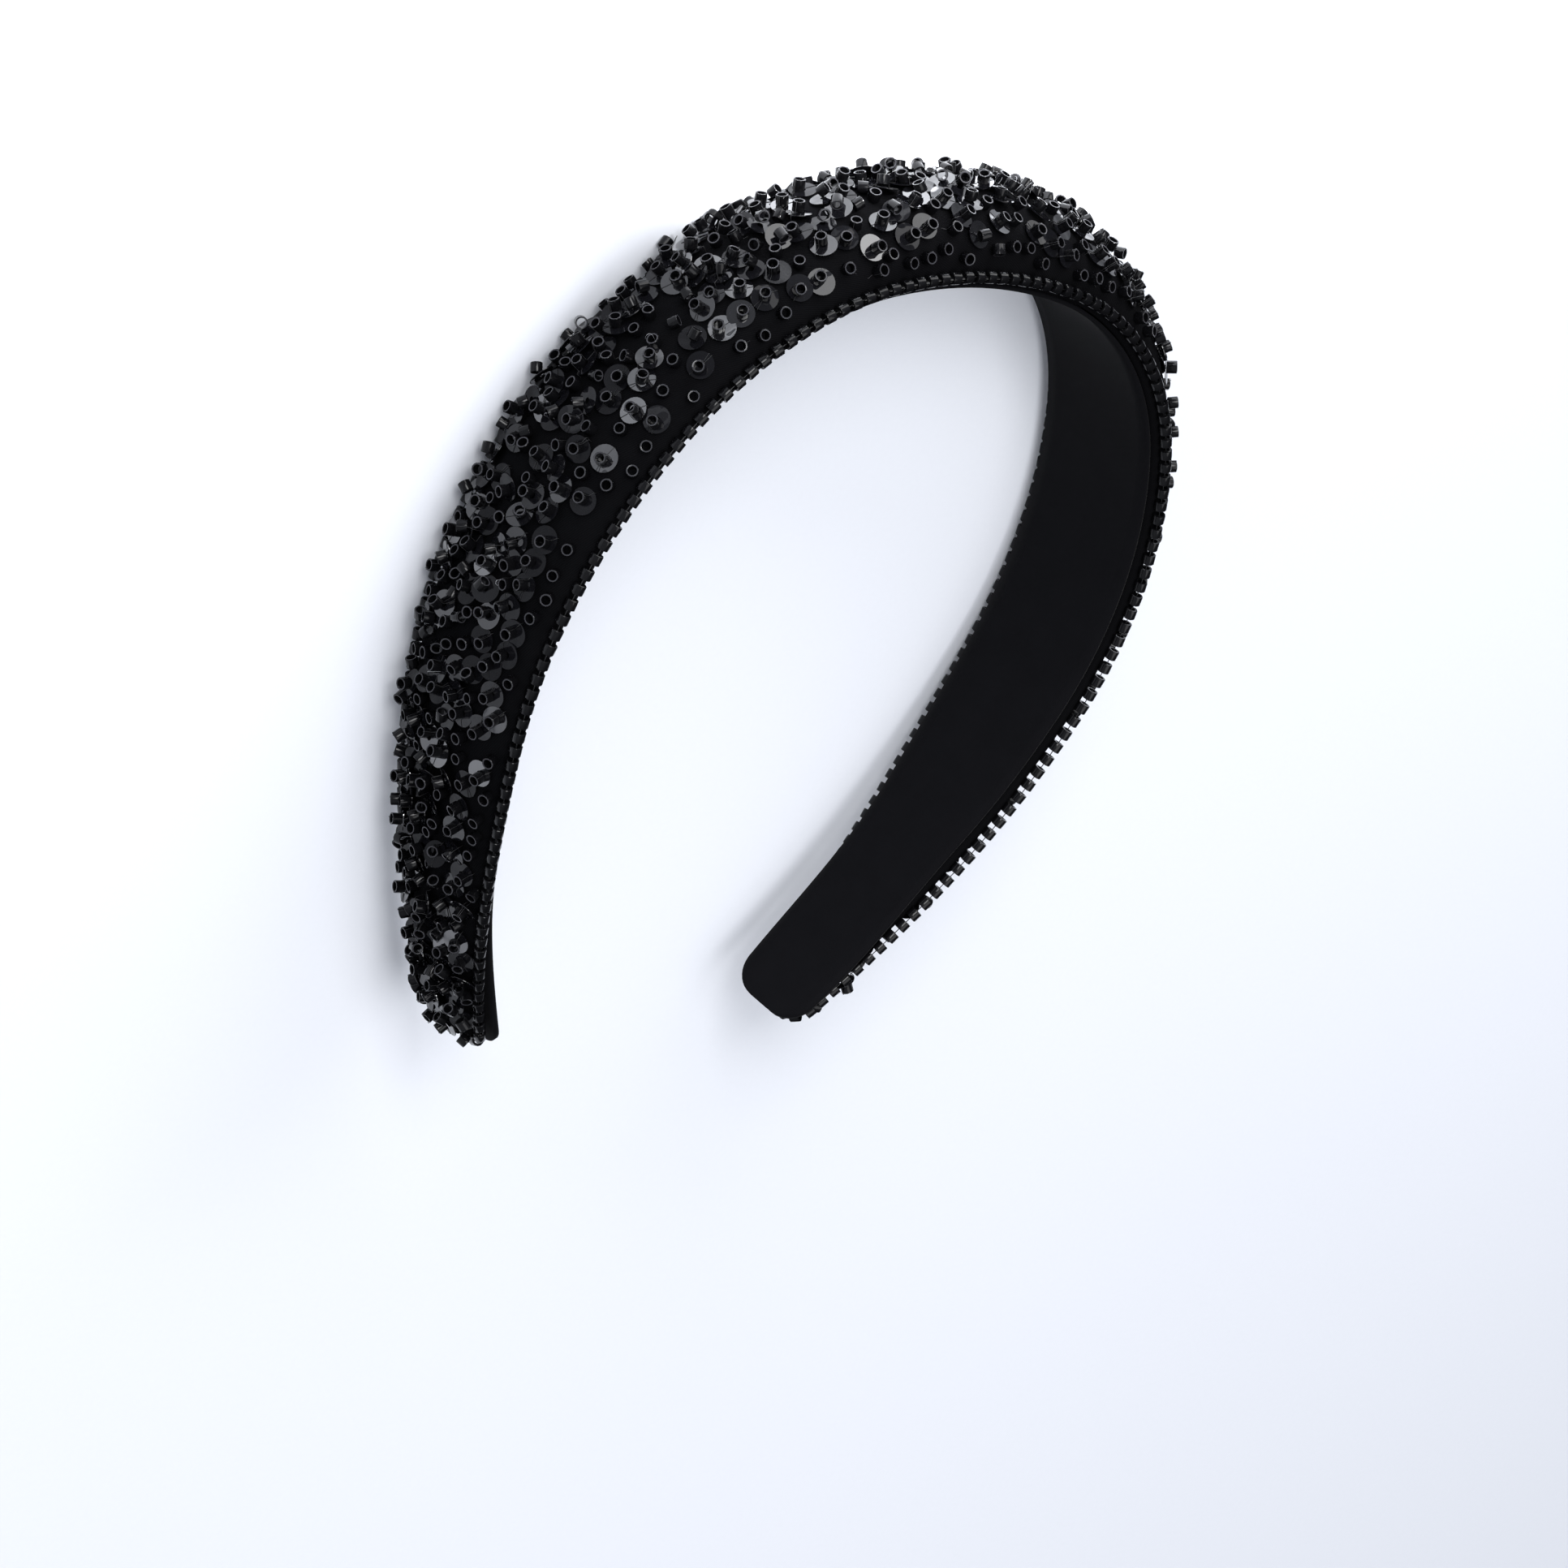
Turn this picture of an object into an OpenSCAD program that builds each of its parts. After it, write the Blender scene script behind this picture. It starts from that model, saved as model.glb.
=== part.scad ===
// Padded headband: a domed cloth cover over foam, lined inside, with a string of beads round its rim.
// It lies on its back edge, with the crown toward +Y, the tips toward -Y and the front edge up.

/* [Band] */
// Length along the inner face, from tip to tip
band_len = 422; // [380:1:450]
// Width of the cover at the crown
crown_w = 25.5; // [22:0.5:30]
// Width where the band is widest, above the legs
side_w = 29.5; // [26:0.5:34]
// Width halfway down the legs
leg_w = 26.5; // [20:0.5:30]
// Width of the cover at the tips
tip_w = 12.5; // [10:0.5:18]
// Radius of the cover's round corners at the tips
tip_corner = 3.5; // [2:0.5:4.5]

/* [Padding] */
// Thickness of the padded cover at the crown
crown_t = 12.4; // [9:0.1:18]
// Thickness where the band is widest
side_t = 7.8; // [6:0.1:12]
// Thickness halfway down the legs
leg_t = 4.4; // [4:0.1:8]
// Thickness at the tips
tip_t = 4.2; // [3.4:0.1:6.5]
// Thickness of the cover's two long edges
edge_t = 1.1; // [0.9:0.1:1.6]

/* [Lining] */
// Thickness of the lining
lining_t = 0.8; // [0.6:0.1:1.6]
// How far the lining stops short of the cover's edge along the legs and the crown
lining_inset = 0.7; // [0.5:0.1:2]
// How much wider the lining is at the tips, on each side
tip_brim = 3.5; // [2.5:0.1:4.5]

/* [Edge beads] */
// Diameter of the beads of the two edge rows
bead_d = 2.3; // [2:0.1:2.8]
// Height of the rows above the cover's inner face
row_rise = 2; // [1.8:0.1:2.6]

/* [Hidden] */

// Clearance between the sewn pieces
gap = 0.3;
half = band_len / 2;
// Distance of a row's middle from the cover's edge, and how far from the middle line the rows end
row_out = bead_d / 2 + gap / 2;
row_end = gap / 2;
// Share of half the length at which the lining begins to stand out past the cover
brim_start = 0.79;

// Bends from the crown to a tip: share of half the length, and turn in degrees
SHARE = 0;
TURN = 1;
BENDS = [
    [0.10, 11],
    [0.25, 49],
    [0.29, 43],
    [0.36, 22],
];

// Named stations from the crown to a tip: share of half the length, width and thickness
WIDTH = 1;
THICK = 2;
STATIONS = [
    [0, crown_w, crown_t],
    [0.35, side_w, side_t],
    [0.7, leg_w, leg_t],
    [1, tip_w, tip_t],
];

// Sections along the band, points over the dome, steps round a tip's corner, sides of a bead row
band_steps = 64;
dome_steps = 22;
corner_steps = 5;
row_sides = 8;
// Fullness of the dome: 1 is a half ellipse, less is squarer
dome_power = 0.75;
// Height of the dome's end at the tips: 0 would be a sharp edge, 1 the full thickness
end_share = 0.35;

// Place and direction on the inner face at a distance from the crown: x, y and turn
function bend_at(d, i = 0, from = [0, 0, 0]) =
    let (arc = BENDS[i][SHARE] * half)
    let (last = i == len(BENDS) - 1)
    let (run = last ? d : min(d, arc))
    let (r = arc / (BENDS[i][TURN] * PI / 180))
    let (a = from[2] + BENDS[i][TURN] * run / arc)
    let (to = [from[0] + r * (sin(a) - sin(from[2])), from[1] - r * (cos(from[2]) - cos(a)), a])
    last || d <= arc ? to : bend_at(d - arc, i + 1, to);

// Slope of a column at a named station: level at the crown, one-sided at the tip
function slope_at(i, column) =
    i == 0 ? 0 :
    let (j = min(i + 1, len(STATIONS) - 1))
    (STATIONS[j][column] - STATIONS[i - 1][column]) / (STATIONS[j][SHARE] - STATIONS[i - 1][SHARE]);

// Smooth value of a column at a share of half the length
function smooth_at(share, column, i = 0) =
    i < len(STATIONS) - 2 && share > STATIONS[i + 1][SHARE] ? smooth_at(share, column, i + 1) :
    let (span = STATIONS[i + 1][SHARE] - STATIONS[i][SHARE])
    let (u = (share - STATIONS[i][SHARE]) / span)
    let (v0 = STATIONS[i][column])
    let (v1 = STATIONS[i + 1][column])
    let (m0 = slope_at(i, column) * span)
    let (m1 = slope_at(i + 1, column) * span)
    v0 * (2 * u ^ 3 - 3 * u ^ 2 + 1) + m0 * (u ^ 3 - 2 * u ^ 2 + u)
        + v1 * (3 * u ^ 2 - 2 * u ^ 3) + m1 * (u ^ 3 - u ^ 2);

function thickness_at(d) = smooth_at(min(d / half, 1), THICK);
function half_width_at(d) = smooth_at(min(d / half, 1), WIDTH) / 2;

// A point of the band: signed distance along it, height off the inner face, offset to the front edge
function band_point(s, rise, across) =
    let (b = bend_at(abs(s)))
    let (side = s < 0 ? -1 : 1)
    [side * (b[0] + rise * sin(b[2])), b[1] + rise * cos(b[2]), across];

// How far the lining stands out past its place along the legs
function brim_at(d) =
    let (u = max(0, (d / half - brim_start) / (1 - brim_start)))
    tip_brim * u * u * (3 - 2 * u);

// Half of the rim's outline, from the crown round the corner of a tip: pairs of distance along the band
// and distance from its middle line. It lies out from the cover's edge by a distance, and by the brim's
// growing width too where brim is 1.
straight = half - tip_corner;
corner_y = half_width_at(straight) - tip_corner;
function rim(out, brim = 0) =
    let (corner = tip_corner + out + brim * brim_at(straight))
    concat(
        [for (i = [0 : band_steps / 2 - 1])
            let (d = straight * i / (band_steps / 2)) [d, half_width_at(d) + out + brim * brim_at(d)]],
        [for (k = [0 : corner_steps])
            let (a = 90 * k / corner_steps) [straight + corner * sin(a), corner_y + corner * cos(a)]]
    );

// The same outline from tip to tip
function both_ways(r) =
    concat([for (i = [len(r) - 1 : -1 : 1]) [-r[i][0], r[i][1]]], r);

// Closed skin over rings of points, each ring with the same number of points
module skin(rings) {
    n = len(rings[0]);
    m = len(rings);
    points = [for (ring = rings) for (p = ring) p];
    sides = [for (i = [0 : m - 2]) for (j = [0 : n - 1]) for (t = [0, 1])
        let (k = (j + 1) % n)
        t == 0 ? [i * n + j, i * n + k, (i + 1) * n + k] : [i * n + j, (i + 1) * n + k, (i + 1) * n + j]];
    first = [[for (j = [n - 1 : -1 : 0]) j]];
    last = [[for (j = [0 : n - 1]) (m - 1) * n + j]];
    polyhedron(points = points, faces = concat(sides, first, last), convexity = 6);
}

// One section of the cover: the dome from the back edge to the front edge, then the flat inner face
function cover_ring(s, w) =
    let (crown = thickness_at(abs(s)) - edge_t)
    let (ending = min(1, (half - abs(s)) / tip_corner + end_share))
    let (rise = crown * sqrt(ending * (2 - ending)))
    concat(
        [for (i = [0 : dome_steps])
            let (a = 180 * i / dome_steps)
            band_point(s, edge_t + rise * pow(sin(a), dome_power), -w * cos(a))],
        [band_point(s, 0, w - gap), band_point(s, 0, gap - w)]
    );

// One section of the lining
function lining_ring(s, w) =
    [for (c = [[-gap, -1], [-gap, 1], [-gap - lining_t, 1], [-gap - lining_t, -1]])
        band_point(s, c[0], c[1] * w)];

// The middle of a bead row from tip to tip, as distances along and across; edge is 1 for the front row
// and -1 for the back row
half_row = concat(rim(row_out), [[half + row_out, row_end]]);
function row_course(edge) = [for (p = both_ways(half_row)) [p[0], edge * p[1]]];
function row_point(p, above = 0) = band_point(p[0], row_rise + above, p[1]);

function unit(v) = v / norm(v);

// Rings of a tube along a course, square to it, with two of its corners level with the row
function tube_rings(course, d) =
    [for (i = [0 : len(course) - 1])
        let (at = row_point(course[i]))
        let (next = row_point(course[min(i + 1, len(course) - 1)]))
        let (up = row_point(course[i], 1) - at)
        let (side = unit(cross(up, next - row_point(course[max(i - 1, 0)]))))
        [for (k = [0 : row_sides - 1])
            at + d / 2 * (cos(360 * k / row_sides) * side + sin(360 * k / row_sides) * up)]];

// How the band rests on its back row. The centre of mass lies under the middle of the sections.
leg_row = [for (p = row_course(-1)) if (p[0] >= 0) row_point(p)];
weights = [for (i = [0 : band_steps / 2])
    let (d = half * i / (band_steps / 2)) half_width_at(d) * thickness_at(d)];
middles = [for (i = [0 : band_steps / 2])
    let (d = half * i / (band_steps / 2)) band_point(d, 0.4 * thickness_at(d), 0)[1]];
mass_y = (weights * middles) / (weights * [for (w = weights) 1]);
// Chords of the back row that pass under the centre of mass, as height there and slope
chords = [for (p = leg_row) for (q = leg_row) if (p[1] >= mass_y && q[1] < mass_y)
    let (slope = (p[2] - q[2]) / (p[1] - q[1])) [p[2] + slope * (mass_y - p[1]), slope]];
lowest = min([for (c = chords) c[0]]);
rest_slope = [for (c = chords) if (c[0] == lowest) c[1]][0];
rest_tilt = -atan(rest_slope);
// Lift that brings the underside of the row to the floor, and shift that centres the band on it
lift = bead_d / 2 - (lowest - rest_slope * mass_y) * cos(rest_tilt);
all_rings = concat(cover_rings(), tube_rings(row_course(1), bead_d), tube_rings(row_course(-1), bead_d));
all_y = [for (ring = all_rings) for (p = ring) p[1] * cos(rest_tilt) - p[2] * sin(rest_tilt)];
shift_y = -(min(all_y) + max(all_y)) / 2;

module at_rest() {
    translate([0, shift_y, lift]) rotate([rest_tilt, 0, 0]) children();
}

function cover_rings() = [for (p = both_ways(rim(0))) cover_ring(p[0], p[1])];
function lining_rings() = [for (p = both_ways(rim(-lining_inset, 1))) lining_ring(p[0], p[1])];

// Foam pad under its tight cloth cover
module padded_cover() {
    color("#1b1a1f") at_rest() skin(cover_rings());
}

// Cloth strip on the inner face
module lining() {
    color("#141317") at_rest() skin(lining_rings());
}

// Half of the string of beads round the rim, as a plain tube
module bead_row(edge) {
    color("#0c0c0e") at_rest() skin(tube_rings(row_course(edge), bead_d));
}

module front_bead_row() {
    bead_row(1);
}

module back_bead_row() {
    bead_row(-1);
}

padded_cover();
lining();
front_bead_row();
back_bead_row();
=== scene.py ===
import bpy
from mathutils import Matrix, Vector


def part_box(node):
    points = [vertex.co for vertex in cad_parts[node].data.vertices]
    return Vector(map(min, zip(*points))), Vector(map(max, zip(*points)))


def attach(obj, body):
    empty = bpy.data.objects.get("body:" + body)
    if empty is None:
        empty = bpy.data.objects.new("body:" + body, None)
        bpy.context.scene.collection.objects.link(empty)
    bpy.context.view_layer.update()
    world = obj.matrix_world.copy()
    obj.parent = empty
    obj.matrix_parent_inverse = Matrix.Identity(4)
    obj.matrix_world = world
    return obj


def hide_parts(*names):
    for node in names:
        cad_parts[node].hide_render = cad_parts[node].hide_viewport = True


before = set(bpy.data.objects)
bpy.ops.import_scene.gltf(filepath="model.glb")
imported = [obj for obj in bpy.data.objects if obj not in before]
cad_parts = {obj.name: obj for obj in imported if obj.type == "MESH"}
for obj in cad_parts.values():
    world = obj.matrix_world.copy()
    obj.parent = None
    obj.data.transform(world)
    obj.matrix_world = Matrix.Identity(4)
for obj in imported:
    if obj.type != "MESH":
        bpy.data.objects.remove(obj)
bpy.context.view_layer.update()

import math
import bpy
import numpy as np
from mathutils import Matrix, Vector

MM = 0.001

# The picture. The band is seen from beside its right leg, above the floor that it lies on, with a
# long lens turned so that the crown is at the top of the picture.
VIEW_AZIMUTH = math.radians(-117.18)
VIEW_ELEVATION = math.radians(35.18)
VIEW_ROLL = math.radians(129.6)
VIEW_DISTANCE = 1.2
VIEW_AIM = Vector((-2.6, -25.6, 34.1)) * MM
LENS = 151.4
SENSOR = 36

back = Vector((math.sin(VIEW_AZIMUTH) * math.cos(VIEW_ELEVATION),
               -math.cos(VIEW_AZIMUTH) * math.cos(VIEW_ELEVATION),
               math.sin(VIEW_ELEVATION)))
level = Vector((math.cos(VIEW_AZIMUTH), math.sin(VIEW_AZIMUTH), 0))
right = level * math.cos(VIEW_ROLL) + back.cross(level) * math.sin(VIEW_ROLL)
up = back.cross(right)
camera = bpy.data.objects.new("camera", bpy.data.cameras.new("camera"))
bpy.context.scene.collection.objects.link(camera)
camera.matrix_world = Matrix.Translation(VIEW_AIM + back * VIEW_DISTANCE) @ Matrix((
    (right.x, up.x, back.x, 0),
    (right.y, up.y, back.y, 0),
    (right.z, up.z, back.z, 0),
    (0, 0, 0, 1)))
camera.data.lens = LENS
camera.data.sensor_width = SENSOR
camera.data.clip_start = 0.05
camera.data.clip_end = 20
bpy.context.scene.camera = camera
bpy.context.scene.view_settings.view_transform = "Standard"


# Floor and light. A plain pale floor in a pale studio, with a soft box high up on the camera's side of
# the crown, a weaker one overhead, a long low one like a window past the crown, and two spotlights on
# the floor behind the crown, which the sequins over the ridge mirror.
def add_node(tree, kind, inputs=None, **settings):
    """A new node; inputs maps an input's name or number to another node's socket or to a value."""
    made = tree.nodes.new(kind)
    for name, value in settings.items():
        setattr(made, name, value)
    for key, value in (inputs or {}).items():
        if isinstance(value, bpy.types.NodeSocket):
            tree.links.new(value, made.inputs[key])
        else:
            made.inputs[key].default_value = value
    return made


def new_material(name, roughness=0.5):
    """A material with one Principled shader: the material, its tree and the shader."""
    made = bpy.data.materials.new(name)
    made.use_nodes = True
    shader = made.node_tree.nodes["Principled BSDF"]
    shader.inputs["Roughness"].default_value = roughness
    return made, made.node_tree, shader


def blend_color(tree, shader, factor, low, high):
    """Base color between two tones, by another node's socket."""
    mixed = add_node(tree, "ShaderNodeMix", {"Factor": factor}, data_type="RGBA")
    mixed.inputs["A"].default_value = (*low, 1)
    mixed.inputs["B"].default_value = (*high, 1)
    tree.links.new(mixed.outputs["Result"], shader.inputs["Base Color"])


def add_grain(tree, scale, **inputs):
    """Noise in the piece's own space, as a socket."""
    place = add_node(tree, "ShaderNodeTexCoord")
    return add_node(tree, "ShaderNodeTexNoise", {
        "Vector": place.outputs["Object"], "Scale": scale, **inputs}).outputs["Fac"]


def add_bump(tree, shader, height, strength, distance):
    """A bump on the shader's normal, as a socket."""
    bump = add_node(tree, "ShaderNodeBump", {"Height": height, "Strength": strength, "Distance": distance})
    tree.links.new(bump.outputs["Normal"], shader.inputs["Normal"])
    return bump.outputs["Normal"]


def new_object(name, data, material=None):
    """An object in the scene, with its only material."""
    made = bpy.data.objects.new(name, data)
    bpy.context.scene.collection.objects.link(made)
    if material:
        data.materials.clear()
        data.materials.append(material)
    return made


def new_lamp(name, kind, place, aim, power, **settings):
    """A lamp at a place, turned to its aim."""
    lamp = bpy.data.lights.new(name, kind)
    lamp.energy = power
    for key, value in settings.items():
        setattr(lamp, key, value)
    made = new_object(name, lamp)
    made.location = place
    made.rotation_euler = (Vector(aim) - Vector(place)).to_track_quat("-Z", "Y").to_euler()


FLOOR_HALF = 3.0
PAPER_GRAIN = 900.0
PAPER_TONES = ((0.79, 0.81, 0.86), (0.81, 0.83, 0.88))
paper, paper_tree, paper_shader = new_material("pale_paper", roughness=0.9)
paper_shader.inputs["Specular IOR Level"].default_value = 0.2
blend_color(paper_tree, paper_shader, add_grain(paper_tree, PAPER_GRAIN), *PAPER_TONES)
floor_mesh = bpy.data.meshes.new("floor")
floor_mesh.from_pydata([(-FLOOR_HALF, -FLOOR_HALF, 0), (FLOOR_HALF, -FLOOR_HALF, 0),
                        (FLOOR_HALF, FLOOR_HALF, 0), (-FLOOR_HALF, FLOOR_HALF, 0)], [], [(0, 1, 2, 3)])
floor = new_object("floor", floor_mesh, paper)

SOFT_BOXES = {
    # name: place, width, height, power
    "key_box": ((-0.80, 0.85, 0.90), 0.6, 0.6, 13),
    "overhead_box": ((-0.10, 0.10, 1.30), 1.0, 1.0, 7.5),
    "low_window": ((0.15, 0.95, 0.27), 1.4, 0.44, 9),
}
FLOOR_SPOTS = {
    # name: place, aim
    "right_spot": ((0.15, 0.50, 0.38), (0.045, 0.145, 0)),
    "left_spot": ((-0.16, 0.48, 0.38), (-0.035, 0.145, 0)),
}
SPOT_ANGLE = math.radians(13)
SPOT_BLEND = 0.8
SPOT_POWER = 80
SPOT_RADIUS = 0.012
for name, (place, width, height, power) in SOFT_BOXES.items():
    new_lamp(name, "AREA", place, (0, 0, 0), power, shape="RECTANGLE", size=width, size_y=height)
for name, (place, aim) in FLOOR_SPOTS.items():
    new_lamp(name, "SPOT", place, aim, SPOT_POWER, spot_size=SPOT_ANGLE, spot_blend=SPOT_BLEND,
             shadow_soft_size=SPOT_RADIUS)

STUDIO_WHITE = (0.87, 0.91, 1.0, 1)
BRIGHT_SIDE = Vector((-0.85, 0.45, 0.25)).normalized()
world = bpy.data.worlds.new("studio")
bpy.context.scene.world = world
world.use_nodes = True
world_tree = world.node_tree
direction = add_node(world_tree, "ShaderNodeTexCoord")
towards = add_node(world_tree, "ShaderNodeVectorMath", {0: direction.outputs["Generated"], 1: BRIGHT_SIDE},
                   operation="DOT_PRODUCT")
strength = add_node(world_tree, "ShaderNodeMapRange", {
    "Value": towards.outputs["Value"], "From Min": -0.6, "From Max": 0.5, "To Min": 0.06, "To Max": 0.7},
    interpolation_type="SMOOTHSTEP")
world_tree.nodes["Background"].inputs["Color"].default_value = STUDIO_WHITE
world_tree.links.new(strength.outputs["Result"], world_tree.nodes["Background"].inputs["Strength"])


# Padded cover. Foam under a tight black cloth with fine slanting ribs, one wide strip that is
# domed outside, flat inside, and narrows to squared tips with round corners.
BAND_LENGTH = 422
WIDTHS = {0: 25.5, 0.35: 29.5, 0.7: 26.5, 1: 12.5}
THICKNESSES = {0: 12.4, 0.35: 7.8, 0.7: 4.4, 1: 4.2}
BENDS = ((0.10, 11), (0.25, 49), (0.29, 43), (0.36, 22))
EDGE_THICKNESS = 1.1
TIP_CORNER = 3.5
DOME_POWER = 0.75
BASE_CORNER = 0.3
# Height of the dome's end at the tips: 0 would be a sharp edge, 1 the full thickness
END_SHARE = 0.35
HALF = BAND_LENGTH / 2
STRAIGHT = HALF - TIP_CORNER
CORNER_RUN = TIP_CORNER * math.pi / 2
# The crown's outer face and the middle of the width, as the frame places them
cover_low, cover_high = (np.array(corner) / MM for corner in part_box("padded_cover"))
CROWN_Y = cover_high[1] - THICKNESSES[0]
MIDDLE_Z = (cover_low[2] + cover_high[2]) / 2


def bend_at(distance):
    """Place and turn of the inner face at a distance from the crown: x, y and angle."""
    x, y, angle = 0.0, 0.0, 0.0
    for number, (share, turn) in enumerate(BENDS):
        arc = share * HALF
        last = number == len(BENDS) - 1
        run = distance if last else min(distance, arc)
        radius = arc / math.radians(turn)
        ahead = angle + math.radians(turn) * run / arc
        x += radius * (math.sin(ahead) - math.sin(angle))
        y -= radius * (math.cos(angle) - math.cos(ahead))
        angle = ahead
        distance -= run
        if distance <= 0:
            break
    return x, y, angle


def smooth_at(share, column):
    """Smooth value at a share of half the length: level at the crown, one-sided at the tip."""
    shares = list(column)
    values = list(column.values())
    top = len(shares) - 1
    slopes = [0.0]
    for i in range(1, top + 1):
        after = min(i + 1, top)
        slopes.append((values[after] - values[i - 1]) / (shares[after] - shares[i - 1]))
    i = max(k for k in range(top) if share >= shares[k] or k == 0)
    span = shares[i + 1] - shares[i]
    u = (min(share, 1) - shares[i]) / span
    return (values[i] * (2 * u ** 3 - 3 * u ** 2 + 1) + slopes[i] * span * (u ** 3 - 2 * u ** 2 + u)
            + values[i + 1] * (3 * u ** 2 - 2 * u ** 3) + slopes[i + 1] * span * (u ** 3 - u ** 2))


def half_width_at(distance):
    return smooth_at(abs(distance) / HALF, WIDTHS) / 2


def thickness_at(distance):
    return smooth_at(abs(distance) / HALF, THICKNESSES)


def no_brim(distance):
    return 0.0


def band_point(along, rise, across):
    """A point in mm: signed distance along the band, height off its inner face, offset to the front."""
    x, y, angle = bend_at(abs(along))
    side = -1 if along < 0 else 1
    return Vector((side * (x + rise * math.sin(angle)),
                   CROWN_Y + y + rise * math.cos(angle),
                   MIDDLE_Z + across))


def rim_at(signed, out=0.0, brim=no_brim):
    """Outline at a signed distance round the rim, moved out past the edge: place along and half width."""
    distance = abs(signed)
    if distance <= STRAIGHT:
        return signed, half_width_at(distance) + out + brim(distance)
    angle = min((distance - STRAIGHT) / TIP_CORNER, math.pi / 2)
    top = half_width_at(STRAIGHT) - TIP_CORNER
    corner = TIP_CORNER + out + brim(STRAIGHT)
    return math.copysign(STRAIGHT + corner * math.sin(angle), signed), top + corner * math.cos(angle)


def rise_at(along):
    """Height of the dome over the edges, which rounds off towards the tips."""
    ending = min(1, (HALF - abs(along)) / TIP_CORNER + END_SHARE)
    return (thickness_at(along) - EDGE_THICKNESS) * math.sqrt(ending * (2 - ending))


def loft(rings):
    """Faces between closed rings of equal count, with a cap at each end."""
    count = len(rings[0])
    faces = []
    for i in range(len(rings) - 1):
        for j in range(count):
            after = (j + 1) % count
            faces.append((i * count + j, i * count + after, (i + 1) * count + after, (i + 1) * count + j))
    faces.append(tuple(range(count - 1, -1, -1)))
    faces.append(tuple((len(rings) - 1) * count + j for j in range(count)))
    return faces


def skin_mesh(name, rings, places):
    """A closed mesh over rings of points, with the places on its cloth in mm as a UV map."""
    made = bpy.data.meshes.new(name)
    made.from_pydata([point for ring in rings for point in ring], [], loft(rings))
    made.validate()
    flat = np.array([place for ring in places for place in ring], dtype=float)
    corners = flat[[loop.vertex_index for loop in made.loops]]
    made.uv_layers.new(name="cloth").data.foreach_set("uv", corners.ravel())
    made.shade_smooth()
    return made


COVER_STEP = 1.5
CORNER_STEPS = 10
DOME_STEPS = 30
BASE_STEPS = 8
rim_length = STRAIGHT + CORNER_RUN
rim_steps = round(rim_length / COVER_STEP)
# Signed distances round the rim from tip to tip, closer together round the corners of the tips
straight_steps = round(STRAIGHT / COVER_STEP)
half_rim = [STRAIGHT * i / straight_steps for i in range(straight_steps)]
half_rim += [STRAIGHT + CORNER_RUN * i / CORNER_STEPS for i in range(CORNER_STEPS + 1)]
rim_runs = [-run for run in half_rim[:0:-1]] + half_rim

cover_rings = []
cover_places = []
for signed in rim_runs:
    along, half_width = rim_at(signed)
    ring = []
    for i in range(DOME_STEPS + 1):
        angle = math.pi * i / DOME_STEPS
        ring.append((EDGE_THICKNESS + rise_at(along) * math.sin(angle) ** DOME_POWER,
                     -half_width * math.cos(angle)))
    flat = half_width - BASE_CORNER
    for i in range(BASE_STEPS + 1):
        ring.append((0, flat - 2 * flat * i / BASE_STEPS))
    cover_rings.append([band_point(along, rise, across) * MM for rise, across in ring])
    # Length of cloth round the section, from the back edge over the dome
    run = 0.0
    lengths = [0.0]
    for (r0, a0), (r1, a1) in zip(ring, ring[1:]):
        run += math.hypot(r1 - r0, a1 - a0)
        lengths.append(run)
    cover_places.append([(along, length) for length in lengths])
cover_mesh = skin_mesh("padded_cover", cover_rings, cover_places)

# The wave texture has 3.2 ribs to a unit at a scale of 1
WAVES_IN_UNIT = 3.2
CLOTH_PATCHES = 0.15
DARK_CLOTH = 0.75
PALE_CLOTH = 1.35


def cloth_material(name, color, roughness, rib, slant, height, sheen):
    """Black cloth with fine ribs: rib is their pitch in mm and slant their direction on the cloth."""
    made, tree, shader = new_material(name, roughness)
    shader.inputs["Sheen Weight"].default_value = sheen
    shader.inputs["Sheen Roughness"].default_value = 0.4
    shader.inputs["Specular IOR Level"].default_value = 0.02
    uv = add_node(tree, "ShaderNodeUVMap", uv_map="cloth")
    turned = add_node(tree, "ShaderNodeMapping", {"Vector": uv.outputs["UV"], "Rotation": (0, 0, slant)})
    ribs = add_node(tree, "ShaderNodeTexWave", {
        "Vector": turned.outputs["Vector"], "Scale": 1 / rib / WAVES_IN_UNIT, "Distortion": 1.2,
        "Detail": 2.0, "Detail Scale": 2.0})
    patch = add_node(tree, "ShaderNodeTexNoise", {
        "Vector": uv.outputs["UV"], "Scale": CLOTH_PATCHES, "Detail": 4.0})
    worn = add_node(tree, "ShaderNodeMath", {0: ribs.outputs["Fac"], 1: patch.outputs["Fac"]},
                    operation="MULTIPLY")
    dark = [c * DARK_CLOTH for c in color]
    pale = [c * PALE_CLOTH for c in color]
    blend_color(tree, shader, worn.outputs[0], dark, pale)
    add_bump(tree, shader, ribs.outputs["Fac"], strength=height, distance=0.0001)
    return made


twill = cloth_material("black_twill", color=(0.003, 0.003, 0.0035), roughness=0.9, rib=0.36,
                       slant=math.radians(60), height=0.4, sheen=0.0)
cover = new_object("cloth_cover", cover_mesh, twill)


# Lining. A flat strip covered with smooth black cloth, sewn to the inner face a little short of the
# cover's edge. At the tips it is wider than the cover, and its round end stands out past the beads.
LINING_THICKNESS = 0.8
LINING_GAP = 0.3
LINING_INSET = 0.7
LINING_STEPS = 10
TIP_BRIM = 3.5
BRIM_START = 0.79


def tip_brim(distance):
    """How far the lining stands out past its place along the legs."""
    u = max(0.0, (abs(distance) / HALF - BRIM_START) / (1 - BRIM_START))
    return TIP_BRIM * u * u * (3 - 2 * u)


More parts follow.
